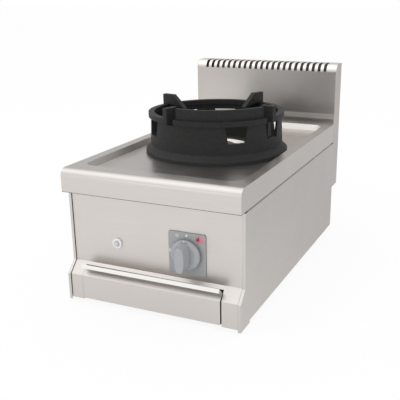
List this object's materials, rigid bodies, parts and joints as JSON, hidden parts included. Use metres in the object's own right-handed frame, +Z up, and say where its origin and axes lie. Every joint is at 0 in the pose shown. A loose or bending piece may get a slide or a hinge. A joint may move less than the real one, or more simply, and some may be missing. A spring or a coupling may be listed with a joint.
{
  "type": "wok burner",
  "caption": "Countertop gas wok burner: stainless box with a recessed worktop, cast-iron wok ring, push-and-turn tap, igniter button, pull-out drip tray and a slotted flue upstand.",
  "frame": {"origin": "on the floor, under the middle of the whole object's box", "axes": "+X to the right of someone facing the front, +Y from the front to the back, +Z up"},
  "size_m": [0.4, 0.7264, 0.4495],
  "materials": {
    "stainless": "satin stainless sheet",
    "plain_steel": "mill-finish sheet",
    "ring_iron": "matt black enamelled casting",
    "burner_iron": "bare casting",
    "brass": "turned",
    "copper": "drawn copper tube",
    "zinc": "zinc-plated steel",
    "knob_plastic": "fine matt grey",
    "bezel_plastic": "fine matt grey",
    "white_plastic": "gloss white",
    "grey_plastic": "matt dark grey",
    "pale_plastic": "satin pale grey",
    "ceramic": "glazed ceramic",
    "rubber": "matt black"
  },
  "bodies": {
    "body": {"side_panel_left": "stainless", "side_panel_right": "stainless", "front_panel": "stainless", "worktop": "stainless", "flue_front_panel": "stainless", "flue_back_panel": "stainless", "base_plate": "plain_steel", "back_panel": "plain_steel", "tray_runner_left": "plain_steel", "tray_runner_right": "plain_steel", "burner_bracket": "plain_steel", "pilot_bracket": "plain_steel", "air_shutter": "plain_steel", "burner_body": "burner_iron", "gas_valve": "brass", "injector_holder": "brass", "injector": "brass", "union_nuts": "brass", "inlet_fitting": "brass", "inlet_locknut": "brass", "pilot_burner": "brass", "pilot_pipe": "copper", "supply_pipe": "copper", "thermocouple": "copper", "burner_bolts": "zinc", "valve_screws": "zinc", "igniter_nut": "zinc", "foot_screws": "zinc", "back_screws": "zinc", "gas_pipe": "zinc", "knob_bezel": "bezel_plastic", "igniter_bezel": "white_plastic", "igniter_body": "grey_plastic", "spark_electrode": "ceramic", "feet": "rubber", "ignition_lead": "rubber"},
    "tray": {"tray_pan": "plain_steel", "tray_front": "stainless"},
    "tap_push": {"valve_push_rod": "zinc"},
    "knob": {"knob": "knob_plastic", "valve_spindle": "zinc"},
    "igniter_button": {"igniter_button": "pale_plastic"},
    "wok_ring": {"wok_ring": "ring_iron"},
    "burner_cap": {"burner_cap": "burner_iron"}
  },
  "joints": [
    {"name": "tray_slide", "type": "slide", "parent": "body", "child": "tray", "axis": [0, -1, 0], "range_m": [0, 0.56]},
    {"name": "tap_push", "type": "slide", "parent": "body", "child": "tap_push", "axis": [0, 1, 0], "range_m": [0, 0.004], "stiffness_N_per_m": 2000},
    {"name": "knob_turn", "type": "hinge", "parent": "tap_push", "child": "knob", "pos_m": [0.0755, -0.3472, 0.142], "axis": [0, -1, 0], "range_deg": [0, 180]},
    {"name": "igniter_press", "type": "slide", "parent": "body", "child": "igniter_button", "axis": [0, 1, 0], "range_m": [0, 0.003], "stiffness_N_per_m": 1000},
    {"name": "ring_lift", "type": "slide", "parent": "body", "child": "wok_ring", "axis": [0, 0, 1], "range_m": [0, 0.18]},
    {"name": "cap_lift", "type": "slide", "parent": "body", "child": "burner_cap", "axis": [0, 0, 1], "range_m": [0, 0.19]}
  ]
}
